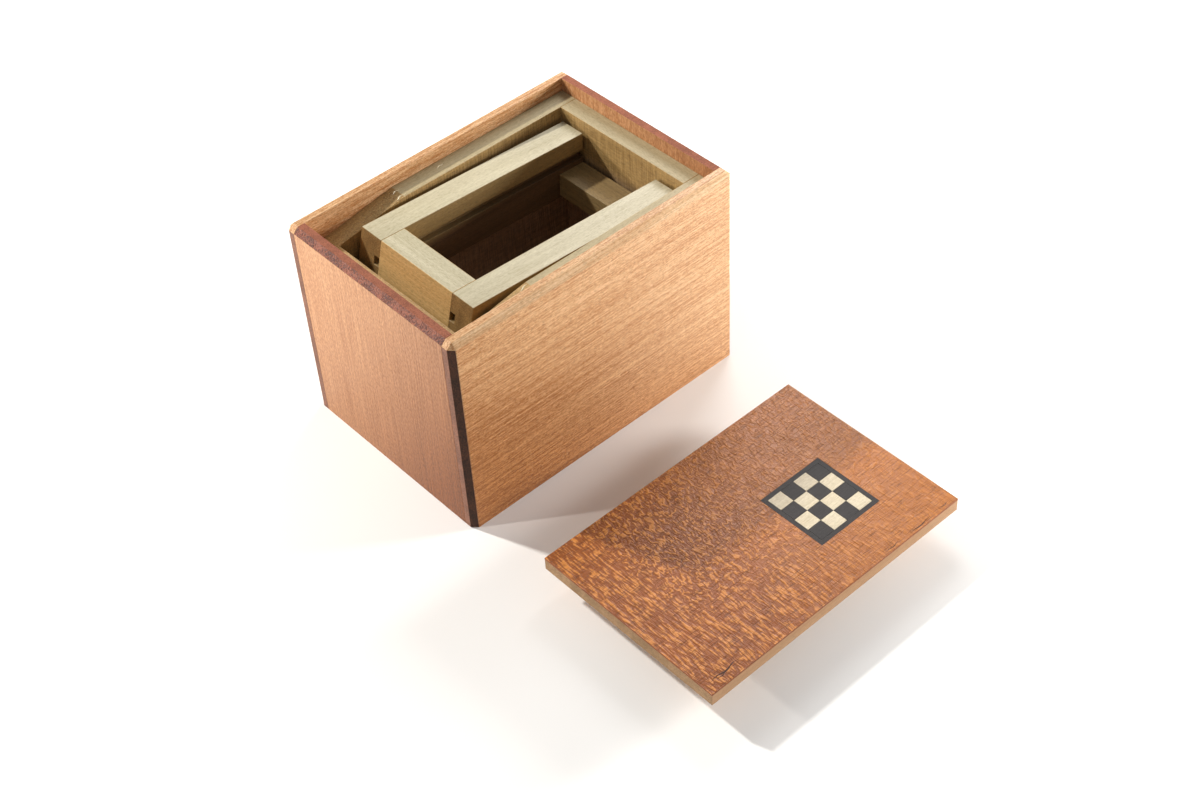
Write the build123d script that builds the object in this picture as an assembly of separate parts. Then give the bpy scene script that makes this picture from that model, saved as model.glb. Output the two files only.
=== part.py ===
from build123d import *

import math
import os

# A small wooden puzzle box. Its lid lies face up on the table in front of the box.
# The origin is at the centre of the box's base. +X runs along the long side to the right,
# +Y from the front to the back, +Z up. Sizes are in millimetres.

os.makedirs("parts", exist_ok=True)

# ---- The carcass: four outer boards and a bottom ----
box_length = 108.0
box_depth = 76.0
box_height = 73.0
wall_thickness = 4.2
bottom_thickness = 4.2
edge_chamfer = 1.8

# ---- The linings, whose tops are the ledge under the lid ----
lining_thickness = 6.4
ramp_angle = 9.4

# ---- The lid: a core board with a face veneer ----
core_thickness = 4.0
veneer_thickness = 0.6
lid_end_clearance = 0.45
lid_side_clearance = 0.55
lid_in_front_of_box = 32.2
lid_shift_to_left = 4.4

# ---- The chequer let into the veneer ----
inlay_right_of_centre = 21.0
inlay_front_of_centre = 6.1
inlay_size = 24.0
inlay_border_width = 1.5
inlay_squares_per_side = 4
inlay_glue_line = 0.05

# ---- The rocking frame ----
frame_side_gap = 1.9
frame_swing_gap = 0.7
frame_foot_gap = 2.2
frame_top_above_pins = 10.5
frame_height = 19.5
frame_end_slope = 12.2
frame_rest_tilt = 2.8
rail_width = 9.2
end_rail_width = 8.6
cross_rail_width = 10.0
cross_rail_height = 8.0
cross_rail_below_top = 10.6
groove_below_top = 6.0
groove_height = 2.8
groove_depth = 2.2

# ---- The pins the frame rocks on, and the strip it comes to rest on ----
pins_left_of_centre = 18.5
pins_below_ledge = 11.4
pin_diameter = 3.0
pin_running_clearance = 0.1
pin_depth_in_lining = 5.0
pin_depth_in_rail = 5.0
stop_strip_width = 4.0
stop_strip_height = 6.0
stop_strip_end_gap = 2.0
stop_gap = 0.3

# ---- The key under the lid ----
key_length = 58.0
key_end_gap = 0.6
spacer_side_clearance = 0.4
tongue_edge_clearance = 0.4
tongue_face_clearance = 0.3

# ---- Sizes that follow from the ones above ----
lid_thickness = core_thickness + veneer_thickness
ledge_height = box_height - lid_thickness
opening_length = box_length - 2 * wall_thickness
opening_depth = box_depth - 2 * wall_thickness
well_length = opening_length - 2 * lining_thickness
well_depth = opening_depth - 2 * lining_thickness

pin_x = -pins_left_of_centre
pin_z = ledge_height - pins_below_ledge
pin_radius = pin_diameter / 2

frame_width = well_depth - 2 * frame_side_gap
frame_opening = frame_width - 2 * rail_width
frame_below_pins = frame_height - frame_top_above_pins
frame_reach = well_length / 2 + pins_left_of_centre - frame_swing_gap
frame_right_of_pins = math.sqrt(frame_reach**2 - frame_below_pins**2)
rest_tilt = math.radians(frame_rest_tilt)
frame_foot = frame_height * math.tan(math.radians(frame_end_slope))
foot_left_of_pins = well_length / 2 - pins_left_of_centre - frame_foot_gap
foot_along_frame = (foot_left_of_pins - frame_below_pins * math.sin(rest_tilt)) / math.cos(rest_tilt)
frame_left_of_pins = foot_along_frame - frame_foot

groove_centre_above_pins = frame_top_above_pins - groove_below_top - groove_height / 2
tongue_thickness = groove_height - 2 * tongue_face_clearance
tongue_width = frame_opening + 2 * (groove_depth - tongue_edge_clearance)
spacer_width = frame_opening - 2 * spacer_side_clearance
spacer_thickness = pins_below_ledge - groove_centre_above_pins - tongue_thickness / 2

lid_length = opening_length - 2 * lid_end_clearance
lid_depth = opening_depth - 2 * lid_side_clearance
lid_centre_y = -box_depth / 2 - lid_in_front_of_box - lid_depth / 2
lid_underside = tongue_thickness + spacer_thickness


def block(x_range, y_range, z_range):
    """A rectangular block between two values on each axis."""
    size = [high - low for low, high in (x_range, y_range, z_range)]
    middle = [(high + low) / 2 for low, high in (x_range, y_range, z_range)]
    return Pos(*middle) * Box(*size)


def slab(outline, y_range):
    """An outline drawn in X and Z, given thickness along Y."""
    corners = [(x, y_range[0], z) for x, z in outline]
    face = make_face(Polyline(*corners, close=True))
    return extrude(face, amount=y_range[1] - y_range[0], dir=(0, 1, 0))


def pin_shape(radius, y_range):
    """A round pin along Y, centred on the line the frame rocks about."""
    length = y_range[1] - y_range[0]
    middle = (y_range[0] + y_range[1]) / 2
    return Pos(pin_x, middle, pin_z) * Rot(90, 0, 0) * Cylinder(radius, length)


def mirrored_to_back(shape):
    """The same piece made for the back of the box."""
    return mirror(shape, about=Plane.XZ)


def save(shape, name):
    """Write one piece as parts/NAME.step."""
    export_step(shape, f"parts/{name}.step")


# ---- Outer boards: the side panels run full length, the end panels butt between them ----
front_face = -box_depth / 2
side_panel = block(
    (-box_length / 2, box_length / 2),
    (front_face, front_face + wall_thickness),
    (0, box_height),
)
outer_face = side_panel.faces().sort_by(Axis.Y)[0]
outer_face_edges = outer_face.edges().sort_by(Axis.Z)
upper_edges = outer_face_edges[1:]
end_top_edges = side_panel.faces().sort_by(Axis.Z)[-1].edges().filter_by(Axis.Y)
side_panel = chamfer(list(upper_edges) + list(end_top_edges), edge_chamfer)
save(side_panel, "side_panel_front")
save(mirrored_to_back(side_panel), "side_panel_back")

end_panel = block(
    (-box_length / 2, -box_length / 2 + wall_thickness),
    (-opening_depth / 2, opening_depth / 2),
    (0, box_height),
)
outer_top_edge = end_panel.edges().filter_by(Axis.Y).sort_by(lambda e: e.center().Z - e.center().X)[-1]
end_panel = chamfer(outer_top_edge, edge_chamfer)
save(end_panel, "end_panel_left")
save(mirror(end_panel, about=Plane.YZ), "end_panel_right")

bottom_panel = block(
    (-opening_length / 2, opening_length / 2),
    (-opening_depth / 2, opening_depth / 2),
    (0, bottom_thickness),
)
save(bottom_panel, "bottom_panel")

# ---- Linings: the tops of three of them run down in one slope at the left end ----
ramp_start = pin_x
ramp_run = opening_length / 2 + ramp_start
ramp_drop = ramp_run * math.tan(math.radians(ramp_angle))
above_ramp = slab(
    [
        (ramp_start, ledge_height),
        (-opening_length / 2, ledge_height),
        (-opening_length / 2, ledge_height - ramp_drop),
    ],
    (-opening_depth / 2, opening_depth / 2),
)
lining_front = block(
    (-opening_length / 2, opening_length / 2),
    (-opening_depth / 2, -well_depth / 2),
    (bottom_thickness, ledge_height),
)
pin_outer_end = -well_depth / 2 - pin_depth_in_lining
pin_inner_end = -frame_width / 2 + pin_depth_in_rail
pin = pin_shape(pin_radius, (pin_outer_end, pin_inner_end))
lining_front = lining_front - above_ramp - pin
save(lining_front, "lining_front")
save(mirrored_to_back(lining_front), "lining_back")

lining_left = block(
    (-opening_length / 2, -well_length / 2),
    (-well_depth / 2, well_depth / 2),
    (bottom_thickness, ledge_height),
)
save(lining_left - above_ramp, "lining_left")

lining_right = block(
    (well_length / 2, opening_length / 2),
    (-well_depth / 2, well_depth / 2),
    (bottom_thickness, ledge_height),
)
save(lining_right, "lining_right")

save(Compound(children=[pin, mirrored_to_back(pin)]), "pivot_pins")

# ---- Rocking frame: drawn level with the pins at X and Z zero, then tipped to its rest ----
frame_top = frame_top_above_pins
frame_bottom = -frame_below_pins
at_rest = Pos(pin_x, 0, pin_z) * Rot(0, frame_rest_tilt, 0)

rail_outline = [
    (-frame_left_of_pins, frame_top),
    (frame_right_of_pins, frame_top),
    (frame_right_of_pins, frame_bottom),
    (-frame_left_of_pins - frame_foot, frame_bottom),
]
rail = slab(rail_outline, (-frame_width / 2, -frame_opening / 2))
groove = block(
    (-frame_left_of_pins - frame_foot, frame_right_of_pins),
    (-frame_opening / 2 - groove_depth, -frame_opening / 2),
    (frame_top - groove_below_top - groove_height, frame_top - groove_below_top),
)
bore_inner_end = pin_inner_end + pin_running_clearance
bore = pin_shape(pin_radius + pin_running_clearance, (-well_depth / 2, bore_inner_end))
rail = at_rest * (rail - groove) - bore
save(rail, "frame_rail_front")
save(mirrored_to_back(rail), "frame_rail_back")

end_rail_right = -frame_left_of_pins + end_rail_width
end_rail_outline = [
    (-frame_left_of_pins, frame_top),
    (end_rail_right, frame_top),
    (end_rail_right, frame_bottom),
    (-frame_left_of_pins - frame_foot, frame_bottom),
]
between_rails = (-frame_opening / 2, frame_opening / 2)
save(at_rest * slab(end_rail_outline, between_rails), "frame_end_left")

cross_rail_top = frame_top - cross_rail_below_top
cross_rail = block(
    (frame_right_of_pins - cross_rail_width, frame_right_of_pins),
    between_rails,
    (cross_rail_top - cross_rail_height, cross_rail_top),
)
save(at_rest * cross_rail, "frame_cross_rail")

# ---- Stop strip: glued to the right lining, just below the frame's lowest corner at rest ----
frame_corner_drop = frame_right_of_pins * math.sin(rest_tilt) + frame_below_pins * math.cos(rest_tilt)
stop_strip_top = pin_z - frame_corner_drop - stop_gap
stop_strip = block(
    (well_length / 2 - stop_strip_width, well_length / 2),
    (-well_depth / 2 + stop_strip_end_gap, well_depth / 2 - stop_strip_end_gap),
    (stop_strip_top - stop_strip_height, stop_strip_top),
)
save(stop_strip, "frame_stop")

# ---- Lid: drawn about its own centre with its underside at Z zero, then laid on the table ----
lid_on_table = Pos(-lid_shift_to_left, lid_centre_y, lid_underside)

core = block((-lid_length / 2, lid_length / 2), (-lid_depth / 2, lid_depth / 2), (0, core_thickness))
save(lid_on_table * core, "lid_core")

veneer_range = (core_thickness, core_thickness + veneer_thickness)
inlay_centre = Pos(inlay_right_of_centre, -inlay_front_of_centre, 0)
inlay_half = inlay_size / 2
inlay_place = inlay_centre * block((-inlay_half, inlay_half), (-inlay_half, inlay_half), veneer_range)
veneer = block((-lid_length / 2, lid_length / 2), (-lid_depth / 2, lid_depth / 2), veneer_range)
save(lid_on_table * (veneer - inlay_place), "lid_face_veneer")

field_half = inlay_half - inlay_border_width
field = inlay_centre * block((-field_half, field_half), (-field_half, field_half), veneer_range)
save(lid_on_table * (inlay_place - field), "inlay_border")

square_pitch = 2 * field_half / inlay_squares_per_side
squares = {"light": [], "dark": []}
for row in range(inlay_squares_per_side):
    for column in range(inlay_squares_per_side):
        left = -field_half + column * square_pitch
        front = -field_half + row * square_pitch
        square = block(
            (left + inlay_glue_line, left + square_pitch - inlay_glue_line),
            (front + inlay_glue_line, front + square_pitch - inlay_glue_line),
            veneer_range,
        )
        shade = "dark" if (row + column) % 2 == 0 else "light"
        squares[shade].append(lid_on_table * inlay_centre * square)
for shade, pieces in squares.items():
    save(Compound(children=pieces), f"inlay_{shade}_squares")

# ---- Key: its edges run in the frame's grooves when the lid is on ----
key_left = pin_x + end_rail_right + key_end_gap
key_range = (key_left, key_left + key_length)
spacer = block(key_range, (-spacer_width / 2, spacer_width / 2), (-spacer_thickness, 0))
save(lid_on_table * spacer, "key_spacer")

tongue_board = block(
    key_range,
    (-tongue_width / 2, tongue_width / 2),
    (-spacer_thickness - tongue_thickness, -spacer_thickness),
)
save(lid_on_table * tongue_board, "key_tongue_board")
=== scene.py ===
import math

import bmesh
import bpy
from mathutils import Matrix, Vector


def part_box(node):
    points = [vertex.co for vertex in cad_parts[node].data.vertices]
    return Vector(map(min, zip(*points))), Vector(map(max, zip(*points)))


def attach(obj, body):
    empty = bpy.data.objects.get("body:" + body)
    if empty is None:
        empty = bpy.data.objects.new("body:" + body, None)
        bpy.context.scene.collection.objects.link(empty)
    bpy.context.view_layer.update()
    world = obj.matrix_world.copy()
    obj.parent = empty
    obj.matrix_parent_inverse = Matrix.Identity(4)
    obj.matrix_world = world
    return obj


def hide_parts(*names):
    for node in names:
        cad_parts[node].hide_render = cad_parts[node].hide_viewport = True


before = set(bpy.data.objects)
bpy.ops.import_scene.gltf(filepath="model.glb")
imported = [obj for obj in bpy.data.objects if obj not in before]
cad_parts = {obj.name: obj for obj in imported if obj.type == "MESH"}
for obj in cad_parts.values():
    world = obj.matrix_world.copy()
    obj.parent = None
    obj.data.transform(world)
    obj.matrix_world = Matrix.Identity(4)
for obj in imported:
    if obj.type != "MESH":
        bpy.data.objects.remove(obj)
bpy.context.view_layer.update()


# Side panels: the two long outer boards, 4 mm cherry with the grain running the length of the
# box. They are glued over the end panels, so their own end grain shows as a strip up each
# corner. The outer arrises carry a small chamfer, sanded and left bare.
MM = 0.001
PORE_STARTS, PORE_FULL, PORE_SHARE = 0.52, 0.68, 0.3
SPECK_STARTS, SPECK_FULL = 0.38, 0.6
PATCH_MM, PATCH_SHARE = 4.0, 0.35
SAW_MARK_LONG, SAW_MARK_WIDE, SAW_MARK_SHARE = 9, 0.45, 1.6


def linear(hex_colour):
    """An sRGB hex colour as the linear RGBA that a shader takes."""
    channels = [int(hex_colour[i:i + 2], 16) / 255 for i in (1, 3, 5)]
    return [c / 12.92 if c <= 0.04045 else ((c + 0.055) / 1.055) ** 2.4 for c in channels] + [1.0]


def add_node(tree, kind, inputs=None, **settings):
    """Adds one node with its settings, and fills or links each input that is named."""
    node = tree.nodes.new(kind)
    for setting, value in settings.items():
        setattr(node, setting, value)
    for socket, value in (inputs or {}).items():
        if isinstance(value, bpy.types.NodeSocket):
            tree.links.new(value, node.inputs[socket])
        else:
            node.inputs[socket].default_value = value
    return node


def empty_material(name):
    """A material with no nodes in it yet."""
    material = bpy.data.materials.new(name)
    material.use_nodes = True
    material.node_tree.nodes.clear()
    return material


def fibres(tree, grain, along, across, detail=2.0, warp=0.0):
    """A cloud drawn out along the grain: its features are along by across millimetres."""
    place = add_node(tree, "ShaderNodeTexCoord").outputs["Object"]
    stretch = [1 / (across * MM)] * 3
    stretch["XYZ".index(grain)] = 1 / (along * MM)
    laid = add_node(tree, "ShaderNodeMapping", {"Vector": place, "Scale": stretch})
    cloud = add_node(tree, "ShaderNodeTexNoise", {
        "Vector": laid.outputs["Vector"], "Scale": 1.0, "Detail": detail, "Distortion": warp})
    return cloud.outputs["Fac"]


def toward(tree, start, end):
    """A share that is 0 at one point of the box and 1 at another, both given in millimetres."""
    run = Vector(end) - Vector(start)
    place = add_node(tree, "ShaderNodeTexCoord").outputs["Object"]
    reach = add_node(tree, "ShaderNodeVectorMath", {0: place, 1: run}, operation="DOT_PRODUCT")
    share = add_node(tree, "ShaderNodeMapRange", {
        "Value": reach.outputs["Value"], "From Min": run.dot(Vector(start)) * MM,
        "From Max": run.dot(Vector(end)) * MM}, interpolation_type="SMOOTHSTEP")
    return share.outputs[0]


def planed_wood(name, grain, pale, deep, pore, figure, pores=(1.3, 0.25), sheen=0.5, relief=0.05,
                sawn=False, drift=None):
    """Side grain. Each row of figure is how long and how wide its streaks are, in millimetres,
    and how strongly they show. Pores are short dark dashes: real ones are under 0.1 mm wide, so
    they are drawn coarser, to show. A sawn board has upright saw marks too. Drift gives the two
    ends of a slow change of colour, and the pale and deep colours at its second end."""
    material = empty_material(name)
    tree = material.node_tree
    layers = [(fibres(tree, grain, along, across, warp=0.3), share) for along, across, share in figure]
    if sawn:
        layers.append((fibres(tree, "Z", SAW_MARK_LONG, SAW_MARK_WIDE, detail=1.0), SAW_MARK_SHARE))
    tone = 0.5
    for cloud, share in layers:
        lift = add_node(tree, "ShaderNodeMath", {0: cloud, 1: 0.5}, operation="SUBTRACT")
        tone = add_node(tree, "ShaderNodeMath", {
            0: lift.outputs[0], 1: share, 2: tone}, operation="MULTIPLY_ADD").outputs[0]
    tints = [linear(deep), linear(pale)]
    if drift:
        start, end, pale_there, deep_there = drift
        reach = toward(tree, start, end)
        for i, there in enumerate((deep_there, pale_there)):
            tints[i] = add_node(tree, "ShaderNodeMix", {
                0: reach, 6: tints[i], 7: linear(there)}, data_type="RGBA").outputs[2]
    ground = add_node(tree, "ShaderNodeMix", {0: tone, 6: tints[0], 7: tints[1]}, data_type="RGBA")
    dash = fibres(tree, grain, *pores, detail=1.0)
    open_pore = add_node(tree, "ShaderNodeMapRange", {
        "Value": dash, "From Min": PORE_STARTS, "From Max": PORE_FULL, "To Max": PORE_SHARE})
    colour = add_node(tree, "ShaderNodeMix", {
        0: open_pore.outputs[0], 6: ground.outputs[2], 7: linear(pore)}, data_type="RGBA")
    height = add_node(tree, "ShaderNodeMath", {0: tone, 1: open_pore.outputs[0]}, operation="SUBTRACT")
    bump = add_node(tree, "ShaderNodeBump", {
        "Height": height.outputs[0], "Strength": 0.8, "Distance": relief * MM})
    surface = add_node(tree, "ShaderNodeBsdfPrincipled", {
        "Base Color": colour.outputs[2], "Roughness": sheen, "IOR": 1.5, "Normal": bump.outputs[0]})
    add_node(tree, "ShaderNodeOutputMaterial", {"Surface": surface.outputs[0]})
    return material


def cut_ends(name, pale, deep, open_mm=0.35, relief=0.08, sheen=0.6):
    """End grain: the cut pores take up more light, so it is darker and speckled all over. The
    specks are drawn a few times coarser than real pores, to show."""
    material = empty_material(name)
    tree = material.node_tree
    speck = fibres(tree, "Z", open_mm, open_mm)
    patch = fibres(tree, "Z", PATCH_MM, PATCH_MM)
    blend = add_node(tree, "ShaderNodeMix", {0: PATCH_SHARE, 2: speck, 3: patch})
    tone = add_node(tree, "ShaderNodeMapRange", {
        "Value": blend.outputs[0], "From Min": SPECK_STARTS, "From Max": SPECK_FULL})
    colour = add_node(tree, "ShaderNodeMix", {
        0: tone.outputs[0], 6: linear(pale), 7: linear(deep)}, data_type="RGBA")
    bump = add_node(tree, "ShaderNodeBump", {"Height": speck, "Strength": 0.8, "Distance": relief * MM})
    surface = add_node(tree, "ShaderNodeBsdfPrincipled", {
        "Base Color": colour.outputs[2], "Roughness": sheen, "IOR": 1.5, "Normal": bump.outputs[0]})
    add_node(tree, "ShaderNodeOutputMaterial", {"Surface": surface.outputs[0]})
    return material


FACE, ENDS, CORNER, TOP, EDGE = range(5)
SQUARE_TO_GRAIN, SLANT_TO_GRAIN, ALONG_GRAIN = 0.85, 0.6, 0.3
STRAIGHT_UP, STEEP, SLOPING, UPRIGHT = 0.995, 0.9, 0.5, 0.3
SMALLEST_TOP = 220 * MM * MM
SAME_POINT, SAME_PLANE = 0.001 * MM, math.radians(1)
SHARP, SHORTEST_ARRIS = math.radians(25), 1.5 * MM


def way_it_looks(face, grain):
    """Which finish a face of a board takes. The floors of grooves and notches are too small to
    count as tops, and the ramps slope too much."""
    across_grain = abs(face.normal["XYZ".index(grain)])
    up = face.normal.z
    if across_grain > SQUARE_TO_GRAIN:
        return ENDS
    if across_grain > SLANT_TO_GRAIN and (grain == "Z" or abs(up) < UPRIGHT):
        return CORNER
    if up > STRAIGHT_UP and face.calc_area() > SMALLEST_TOP:
        return TOP
    if SLOPING < up < STEEP and across_grain < ALONG_GRAIN:
        return EDGE
    return FACE


def worked_board(node, body, grain, face_wood, end_wood, corner_wood=None, top_wood=None,
                 edge_wood=None, arris=0.15):
    """The board of a CAD node with its sharp arrises eased by so many millimetres, and a finish
    for its faces, its end grain, the chamfers over the end grain, its top and its top chamfers."""
    board = bpy.data.objects.new(f"{node}_board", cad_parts[node].data.copy())
    bpy.context.scene.collection.objects.link(board)
    shape = bmesh.new()
    shape.from_mesh(board.data)
    bmesh.ops.remove_doubles(shape, verts=shape.verts, dist=SAME_POINT)
    bmesh.ops.dissolve_limit(shape, angle_limit=SAME_PLANE, verts=shape.verts, edges=shape.edges)
    corners = [e for e in shape.edges if e.calc_face_angle(0) > SHARP and e.calc_length() > SHORTEST_ARRIS]
    bmesh.ops.bevel(shape, geom=corners, offset=arris * MM, segments=2, profile=0.5,
                    affect="EDGES", clamp_overlap=True)
    shape.normal_update()
    for face in shape.faces:
        face.material_index = way_it_looks(face, grain)
        face.smooth = False
    board.data.materials.clear()
    for finish in (face_wood, end_wood, corner_wood or end_wood, top_wood or face_wood,
                   edge_wood or face_wood):
        board.data.materials.append(finish)
    shape.to_mesh(board.data)
    shape.free()
    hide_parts(node)
    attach(board, body)


# Planed cherry: warm orange-brown with fine streaks and short dark pores, and a slight sheen from
# the plane. The boards go paler from their lower left corner up and to the right: painted shade
# low at the left by the table, and a painted sheen of light toward the upper right.
side_face = planed_wood("cherry_planed_side", "X", "#c68850", "#884e1f", "#4c2813",
                        [(90, 16, 0.45), (30, 0.42, 1.9), (3, 0.4, 1.8), (0.8, 0.38, 1.8)], pores=(1.4, 0.25),
                        sheen=0.42, drift=((-45, 0, 10), (-15, 0, 68), "#e4ba8c", "#b47a46"))
# Cherry end grain: reddish brown, dull and speckled.
side_ends = cut_ends("cherry_end_grain_side", "#93624a", "#694331")
# Cherry end grain cut at a slant, painted nearly black: partly its own dark end grain, and partly
# painted shade, as the chamfer faces away from the lamps.
side_corner_shaded = cut_ends("cherry_corner_chamfer_painted_shade", "#54301a", "#2c170a", sheen=0.85)
# Cherry top chamfer, painted paler than the faces: a painted highlight for the light falling on it
# from the front above.
side_edge_lit = planed_wood("cherry_top_chamfer_painted_highlight", "X", "#efca9c", "#c8925c", "#7c4c28",
                        [(60, 3, 0.6), (30, 0.4, 2.0), (0.8, 0.38, 1.2)])
for node in ("side_panel_front", "side_panel_back"):
    worked_board(node, "box", "X", side_face, side_ends, side_corner_shaded, edge_wood=side_edge_lit)


# End panels: the two short outer boards, cherry with the grain standing upright, glued between
# the side panels. Their top edges are end grain, so the chamfers there are rough and dark.

# Planed cherry again: pinker, with long upright streaks, and a deeper brown low at the front:
# painted shade toward the near corner, which the lamps light least.
end_face = planed_wood("cherry_planed_end", "Z", "#d8a476", "#b3784a", "#6c3c1c",
                       [(110, 9, 0.4), (30, 0.6, 1.8), (1.2, 0.45, 2.4)], pores=(1.2, 0.25), sheen=0.45,
                       drift=((0, 36, 60), (0, -40, 0), "#92501c", "#643208"))
# Sawn and sanded end grain: a dull red-brown rim round the ends of the box.
end_tops = cut_ends("cherry_end_grain_top", "#a05e42", "#7c452e", sheen=0.8)
# End grain torn by the chamfering: pitted, with small glints in the pits.
end_chamfer = cut_ends("cherry_end_grain_chamfer", "#9c583e", "#54281a", open_mm=0.5, relief=0.7, sheen=0.42)
for node in ("end_panel_left", "end_panel_right"):
    worked_board(node, "box", "Z", end_face, end_tops, end_chamfer, arris=0.12)


# Bottom panel: a plain beech board 4 mm thick, let in flush between the four walls and glued.
# It is planed and bare, and only its upper face shows, down in the compartment.

# Planed beech: pale pinkish brown, even, with fine short flecks.
bottom_face = planed_wood("beech_planed_bottom", "X", "#dcbc9c", "#bc9674", "#8a6648",
                          [(90, 9, 1.2), (60, 1.1, 0.9), (1.2, 0.35, 1.2)])
# Beech end grain: a little darker, finely speckled.
bottom_ends = cut_ends("beech_end_grain", "#a67f5c", "#7e5c40")
worked_board("bottom_panel", "box", "X", bottom_face, bottom_ends)


# Linings: four poplar boards a quarter inch thick, glued to the walls, with the frame's stop strip
# glued on the right one. Their tops are planed and make the ledge the lid sits on, cut down in a
# ramp at the left end. Their faces keep the saw's marks.
lining_figure = [(70, 5, 0.9), (50, 0.8, 0.9), (1.2, 0.4, 0.9)]
# Poplar end grain: a flat olive brown.
lining_ends = cut_ends("poplar_end_grain", "#a08c60", "#766442")
lining_boards = {"X": ("lining_front", "lining_back"), "Y": ("lining_left", "lining_right", "frame_stop")}
for grain, nodes in lining_boards.items():
    # Planed poplar: pale, greenish and even, with soft bands and fine streaks.
    lining_top = planed_wood(f"poplar_planed_lining_{grain}", grain, "#c0b08a", "#9a8a64", "#6f6040",
                             lining_figure)
    # Sawn poplar: golden and ribbed by the saw, going brown below the frame's pins.
    lining_face = planed_wood(f"poplar_sawn_lining_{grain}", grain, "#c09e66", "#937444", "#5f4a2a",
                              lining_figure, sawn=True, relief=0.12,
                              drift=((0, 0, 58), (0, 0, 48), "#b8977c", "#8c6e58"))
    for node in nodes:
        worked_board(node, "box", grain, lining_face, lining_ends, top_wood=lining_top)


# Torn fibres: where the ramps were cut down from the linings' tops, a few fibres lifted and stand
# up as pale slivers, and two more lie on the back lining. They are the linings' own wood.
SLIVER_RINGS = 9
TIP_SHARE, TIP_HEIGHT = 0.04, 0.2
CROOK_SHARE, CROOK_TURN = 0.6, 9


def sliver(name, start, end, width, body, finish, height=0.04):
    """A thin spindle between two points in millimetres: widest in the middle, sharp at both ends,
    and a little crooked, like a torn or split fibre."""
    start, end = Vector(start), Vector(end)
    side = Vector((0, 0, 1)).cross(end - start).normalized()
    shape = bmesh.new()
    rings = []
    for i in range(SLIVER_RINGS):
        share = i / (SLIVER_RINGS - 1)
        swell = math.sin(math.pi * share)
        half = width * (TIP_SHARE + swell) / 2
        middle = start.lerp(end, share) + side * width * CROOK_SHARE * math.sin(share * CROOK_TURN)
        ridge = Vector((0, 0, height * (TIP_HEIGHT + swell)))
        corners = (side * half, ridge, side * -half)
        rings.append([shape.verts.new((middle + corner) * MM) for corner in corners])
    for near, far in zip(rings, rings[1:]):
        for i in range(3):
            shape.faces.new((near[i], near[(i + 1) % 3], far[(i + 1) % 3], far[i]))
    shape.faces.new(rings[0])
    shape.faces.new(rings[-1])
    bmesh.ops.recalc_face_normals(shape, faces=shape.faces)
    mesh = bpy.data.meshes.new(name)
    shape.to_mesh(mesh)
    shape.free()
    piece = bpy.data.objects.new(name, mesh)
    bpy.context.scene.collection.objects.link(piece)
    piece.data.materials.append(finish)
    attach(piece, body)


# Torn poplar: the raised fibres are dull and nearly white beside the planed wood.
torn_wood = cut_ends("poplar_torn_fibre", "#efe6cc", "#d2c29a", sheen=0.7)
lining_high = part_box("lining_front")[1] / MM
ledge, inner_edge = lining_high.z - 0.01, -lining_high.y
ramp_start = sum(corner.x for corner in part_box("pivot_pins")) / 2 / MM
FIBRE_HEIGHT, FIBRE_SLANT = 0.12, 0.4
# Each row is: front (-1) or back (1), how far right of the ramp's start, how far out from the
# inner edge, how long, how far it drops along its length, and how wide.
torn_fibres = ((-1, 2.0, 1.0, 6.0, 0.45, 0.6), (-1, 1.0, 2.4, 3.5, 0.2, 0.4), (-1, 1.5, 4.6, 3.5, 0.2, 0.4),
               (1, 1.5, 1.2, 4.5, 0.3, 0.55), (1, 1.0, 4.1, 3.0, 0.15, 0.4), (1, 18.0, 4.2, 3.0, 0, 0.35),
               (1, 56.0, 1.2, 3.0, 0, 0.35))
for i, (side, rightward, outward, length, drop, width) in enumerate(torn_fibres):
    x, y = ramp_start + rightward, side * (inner_edge + outward)
    sliver(f"ramp_fibre_{i}", (x, y, ledge), (x - length, y - FIBRE_SLANT, ledge - drop), width,
           "box", torn_wood, height=FIBRE_HEIGHT)


# Pivot pins: two turned birch dowels 3 mm across, set in the front and back linings, with the
# rocking frame hung on them. They are hidden between the rails and the linings.

# Turned birch: pale, smooth and even, with the grain along the pin.
pin_side = planed_wood("birch_turned_pin", "Y", "#c6a878", "#a5865a", "#806440", lining_figure)
# Birch end grain: a flat olive brown.
pin_ends = cut_ends("birch_end_grain_pin", "#a08c60", "#766442")
worked_board("pivot_pins", "box", "Y", pin_side, pin_ends, arris=0.1)


# Rocking frame: two grooved poplar rails with a short rail let in flush at the left end and a low
# cross rail at the open right end, glued with plain butt joints. The tops were planed together
# after gluing, and the other faces are as they were sawn.

# Poplar end grain: olive brown, seen at the rails' ends.
rail_ends = cut_ends("poplar_end_grain_rail", "#a3824e", "#785c34")
# Planed poplar: the palest wood in the box, a greyish cream with faint streaks and some sheen.
rail_top = planed_wood("poplar_planed_rail", "X", "#d2c8ac", "#b0a584", "#847652", lining_figure, sheen=0.42)
# Sawn poplar: golden at the top of the rails' sides, and dark brown a few millimetres below:
# painted shade, down where the light doesn't reach.
rail_face_shaded_below = planed_wood("poplar_sawn_rail_painted_shade", "X", "#ac8f5e", "#826a40", "#56421f", lining_figure, relief=0.1,
                        drift=((0, 0, 60), (0, 0, 56), "#6c5037", "#483220"))
for node in ("frame_rail_front", "frame_rail_back"):
    worked_board(node, "rocking_frame", "X", rail_face_shaded_below, rail_ends, top_wood=rail_top)
# The short rail: the same planed top with its grain the other way, and a sawn face painted bright
# golden: painted light, the warm glow that the cherry end wall and the lamp at the left throw on it.
short_top = planed_wood("poplar_planed_short_rail", "Y", "#d2c8ac", "#b0a584", "#847652", lining_figure,
                        sheen=0.42)
short_face_lit_gold = planed_wood("poplar_short_rail_painted_glow", "Y", "#e8c588", "#bb965a", "#765b34", lining_figure,
                         relief=0.1)
worked_board("frame_end_left", "rocking_frame", "Y", short_face_lit_gold, rail_ends,
             top_wood=short_top)
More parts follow.
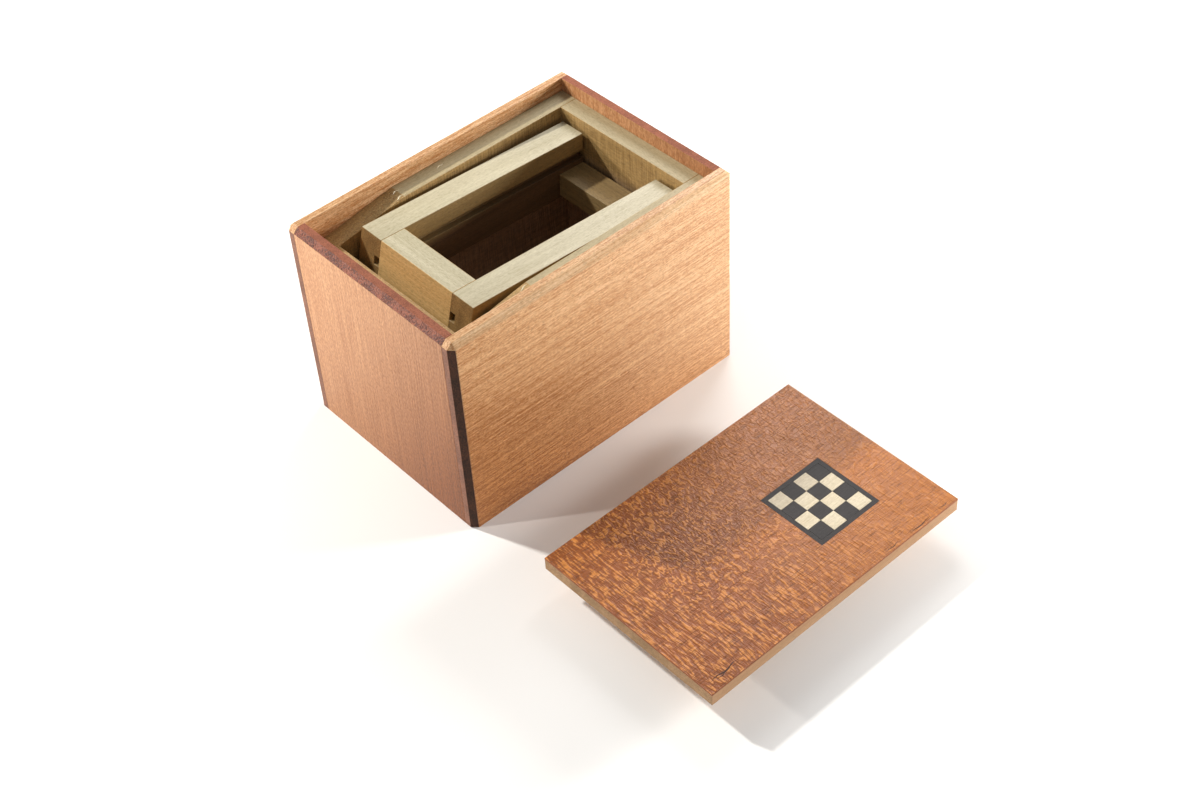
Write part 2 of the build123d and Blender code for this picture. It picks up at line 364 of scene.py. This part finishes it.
# The cross rail: given the sawn finish all round, its top too, in a duller brown: painted shade,
# as it lies low in shadow at the open end.
cross_face_shaded = planed_wood("poplar_cross_rail_painted_shade", "Y", "#a58a5c", "#7d6640", "#4d3a20", lining_figure,
                         relief=0.1)
worked_board("frame_cross_rail", "rocking_frame", "Y", cross_face_shaded, rail_ends)


# Lid core: a birch board 4 mm thick that drops into the recess in the rim. It is planed and bare,
# and its edges show under the veneer all round.

# Planed birch: light tan and even, with faint fine streaks.
core_face = planed_wood("birch_planed_core", "X", "#c79c72", "#a87c54", "#8a6440",
                        [(60, 3, 0.8), (50, 0.6, 1.0), (1.0, 0.35, 0.6)])
# Birch end grain: tan, slightly darker and speckled.
core_ends = cut_ends("birch_end_grain_core", "#b08a62", "#86663f")
worked_board("lid_core", "lid", "X", core_face, core_ends, arris=0.1)


# Lid face: a thin sheet of quarter-cut lacewood veneer glued on the core, its edges cut flush.
# It was sanded and left with a soft gloss. Its rays are what makes the figure.
LONG_FLECK, SMALL_FLECK, DARK_LINE = (3.2, 0.65), (2.0, 1.0), (5.0, 0.35)
FLECK_STARTS, FLECK_FULL = 0.51, 0.6
FLECK_AT_LEFT, FLECK_AT_RIGHT = 0.85, 0.35
LINE_STARTS, LINE_FULL, LINE_SHARE, LINE_DEPTH = 0.5, 0.68, 0.55, -0.25
PAINTED_SHEEN, SCALE_RELIEF = 0.35, 0.27
CROWDED_INWARD, CROWDED_RIGHTWARD, PAINTED_SHEEN_RIGHTWARD = (10.7, 30.7), (7.75, 21.75), (18.75, 83.75)
lid_low, lid_high = [Vector(corner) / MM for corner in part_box("lid_face_veneer")]


def toward_on_lid(tree, axis, start, end):
    """A share that is 0 and then 1 at two distances in millimetres from the lid's near left corner."""
    way = Vector([name == axis for name in "XYZ"])
    return toward(tree, lid_low + way * start, lid_low + way * end)


def figured_veneer(name, pale, deep, fleck, crack):
    """Quarter-cut veneer: pale ray flecks stand across the grain, long at the near and left edges
    and crowded into small raised scales behind, with fine dark lines along the grain. The flecks
    are stronger at the left, and the ground is paler at the right: a painted sheen on the right
    side, where more light falls, washes the figure out there. The sanded flecks stand a little
    proud, so low light picks them out."""
    material = empty_material(name)
    tree = material.node_tree
    cloud = fibres(tree, "X", 30, 14)
    ground = add_node(tree, "ShaderNodeMix", {0: cloud, 6: linear(deep), 7: linear(pale)}, data_type="RGBA")
    long_fleck = fibres(tree, "Y", *LONG_FLECK, detail=1.5, warp=0.3)
    small_fleck = fibres(tree, "Y", *SMALL_FLECK, detail=1.0, warp=0.9)
    crowded = add_node(tree, "ShaderNodeMath", {
        0: toward_on_lid(tree, "Y", *CROWDED_INWARD), 1: toward_on_lid(tree, "X", *CROWDED_RIGHTWARD)},
        operation="MULTIPLY")
    rays = add_node(tree, "ShaderNodeMix", {0: crowded.outputs[0], 2: long_fleck, 3: small_fleck})
    to_right = toward_on_lid(tree, "X", *PAINTED_SHEEN_RIGHTWARD)
    strength = add_node(tree, "ShaderNodeMapRange", {
        "Value": to_right, "To Min": FLECK_AT_LEFT, "To Max": FLECK_AT_RIGHT})
    shown = add_node(tree, "ShaderNodeMapRange", {
        "Value": rays.outputs[0], "From Min": FLECK_STARTS, "From Max": FLECK_FULL})
    pale_ray = add_node(tree, "ShaderNodeMath", {
        0: shown.outputs[0], 1: strength.outputs[0]}, operation="MULTIPLY")
    flecked = add_node(tree, "ShaderNodeMix", {
        0: pale_ray.outputs[0], 6: ground.outputs[2], 7: linear(fleck)}, data_type="RGBA")
    dark_line = add_node(tree, "ShaderNodeMapRange", {
        "Value": fibres(tree, "X", *DARK_LINE), "From Min": LINE_STARTS, "From Max": LINE_FULL,
        "To Max": LINE_SHARE})
    # Painted sheen: toward the right the ground is mixed toward the fleck colour, for the light on that side.
    painted_sheen = add_node(tree, "ShaderNodeMath", {0: to_right, 1: PAINTED_SHEEN}, operation="MULTIPLY")
    sheen_veiled = add_node(tree, "ShaderNodeMix", {
        0: painted_sheen.outputs[0], 6: flecked.outputs[2], 7: linear(fleck)}, data_type="RGBA")
    colour = add_node(tree, "ShaderNodeMix", {
        0: dark_line.outputs[0], 6: sheen_veiled.outputs[2], 7: linear(crack)}, data_type="RGBA")
    height = add_node(tree, "ShaderNodeMath", {
        0: dark_line.outputs[0], 1: LINE_DEPTH, 2: rays.outputs[0]}, operation="MULTIPLY_ADD")
    bump = add_node(tree, "ShaderNodeBump", {
        "Height": height.outputs[0], "Strength": 1.0, "Distance": SCALE_RELIEF * MM})
    surface = add_node(tree, "ShaderNodeBsdfPrincipled", {
        "Base Color": colour.outputs[2], "Roughness": 0.38, "IOR": 1.5, "Normal": bump.outputs[0]})
    add_node(tree, "ShaderNodeOutputMaterial", {"Surface": surface.outputs[0]})
    return material


# Sanded lacewood: red-brown with bright orange flecks that catch the light.
veneer_face = figured_veneer("lacewood_sanded_veneer", "#9a541e", "#723a10", "#cc843c", "#46220a")
# Cut veneer edge: a thin orange-brown line over the pale core.
veneer_edge = cut_ends("lacewood_veneer_edge", "#9c5626", "#74391a")
worked_board("lid_face_veneer", "lid", "X", veneer_edge, veneer_edge, top_wood=veneer_face,
             arris=0.05)


# Veneer splits: hairline cracks along the grain, where the thin veneer has opened along the lid's
# near edge: two by its left corner and three toward its right end.

# Broken lacewood: the torn fibres in a split are dark brown and dull.
split_dark = cut_ends("lacewood_open_split", "#4a2410", "#260f05")
SPLIT_LIFT, SPLIT_SLANT = 0.005, 0.3
split_height = lid_high.z + SPLIT_LIFT
# Each row is: how far from the left edge, how long, how far in from the near edge, and how wide.
splits = ((3.0, 10.0, 3.2, 0.5), (4.5, 4.0, 2.6, 0.3),
          (69, 6, 0.9, 0.25), (79, 9, 0.8, 0.3), (92, 4, 1.1, 0.2))
for i, (rightward, length, inward, width) in enumerate(splits):
    x, y = lid_low.x + rightward, lid_low.y + inward
    sliver(f"veneer_split_{i}", (x, y, split_height), (x + length, y + SPLIT_SLANT, split_height), width,
           "lid", split_dark)


# Inlay: a square of ebony border strips with a chequer of ebony and maple squares inside, let
# into the veneer, glued and sanded flush with it.
inlay_figure = [(30, 2, 0.8), (20, 0.5, 1.0), (1.0, 0.3, 1.0)]
# Sanded ebony: nearly black, with a faint grain and little sheen.
dark_inlay = planed_wood("ebony_inlay", "X", "#2c2624", "#1a1514", "#0e0a09", inlay_figure, sheen=0.55)
# Sanded maple: cream, close-grained and a little glossier.
light_inlay = planed_wood("maple_inlay", "X", "#d6cab0", "#b5a686", "#8f8060", inlay_figure, sheen=0.4)
for node, slot, wood in (("inlay_border", "inlay_dark_wood", dark_inlay),
                         ("inlay_dark_squares", "inlay_dark_wood", dark_inlay),
                         ("inlay_light_squares", "inlay_light_wood", light_inlay)):
    worked_board(node, "lid", "X", wood, wood, arris=0.03)


# Key: a poplar spacer block glued under the lid, with a wider tongue board glued under that. The
# board's edges run in the grooves of the rocking frame's rails.

# Planed poplar: pale and greenish, like the linings' tops.
key_face = planed_wood("poplar_planed_key", "X", "#c3b48c", "#9d8c62", "#746440", lining_figure)
for node in ("key_spacer", "key_tongue_board"):
    worked_board(node, "lid", "X", key_face, rail_ends)


# Table: a plain white paper sheet that the box and its lid lie on. It isn't part of the box, so it
# is only a flat sheet, a hair below the box.
REACH = 6.0
table_corners = [(-REACH, -REACH, 0), (REACH, -REACH, 0), (REACH, REACH, 0), (-REACH, REACH, 0)]
table_mesh = bpy.data.meshes.new("table")
table_mesh.from_pydata(table_corners, [], [(0, 1, 2, 3)])
table = bpy.data.objects.new("table", table_mesh)
bpy.context.scene.collection.objects.link(table)
table.location.z = -0.02 * MM
# Matt white paper: no gloss and no pattern, so the shadows on it stay soft and clean.
paper = bpy.data.materials.new("white_paper_sheet")
paper.use_nodes = True
paper.node_tree.nodes["Principled BSDF"].inputs["Base Color"].default_value = linear("#f6f5f3")
paper.node_tree.nodes["Principled BSDF"].inputs["Roughness"].default_value = 0.8
table.data.materials.append(paper)


# Light: a window behind gives the long soft shadows, and two lamps brighten the left end and the
# front. A white card on the right is only seen as gloss on the wood. The pale room fills the rest.
def soft_light(name, azimuth, elevation, distance, width, watts, tint, diffuse=1.0):
    """A square area light, its distance and width in metres, that looks at the middle of the box
    and its lid. Diffuse is the share of its light that falls on matt surfaces."""
    lamp = bpy.data.lights.new(name, "AREA")
    lamp.size = width
    lamp.energy = watts
    lamp.color = linear(tint)[:3]
    lamp.diffuse_factor = diffuse
    stand = bpy.data.objects.new(name, lamp)
    bpy.context.scene.collection.objects.link(stand)
    around, up = math.radians(azimuth), math.radians(elevation)
    way = Vector((math.cos(around) * math.cos(up), math.sin(around) * math.cos(up), math.sin(up)))
    aim = Vector((0, -0.03, 0.03))
    stand.location = aim + way * distance
    stand.rotation_euler = way.to_track_quat("Z", "Y").to_euler()


soft_light("window_behind", 114, 40, 1.2, 0.06, 12.5, "#fffdf8")
soft_light("lamp_left", 152, 16, 0.33, 0.01, 0.42, "#fff8f0")
soft_light("lamp_front_right", -34, 12, 0.4, 0.09, 2.05, "#fffcf8")
soft_light("white_card_right", 30, 42, 0.35, 0.15, 0.6, "#ffffff", diffuse=0.0)
world = bpy.data.worlds.new("pale_room")
bpy.context.scene.world = world
world.use_nodes = True
world.node_tree.nodes["Background"].inputs["Color"].default_value = linear("#f4f6fa")
world.node_tree.nodes["Background"].inputs["Strength"].default_value = 0.27
bpy.context.scene.view_settings.view_transform = "Standard"


# Camera: a 58 mm lens about 0.6 m away, to the left of the front, looking down at about 45
# degrees so that the inside of the box shows.
CAMERA_PLACE = Vector((-269.9, -357.2, 425.9)) * MM
CAMERA_TURN = (45.534, 2.615, -42.478)
lens = bpy.data.cameras.new("camera")
lens.lens = 58.3
lens.sensor_width = 36.0
lens.clip_start = 0.01
camera = bpy.data.objects.new("camera", lens)
bpy.context.scene.collection.objects.link(camera)
camera.location = CAMERA_PLACE
camera.rotation_euler = [math.radians(angle) for angle in CAMERA_TURN]
bpy.context.scene.camera = camera
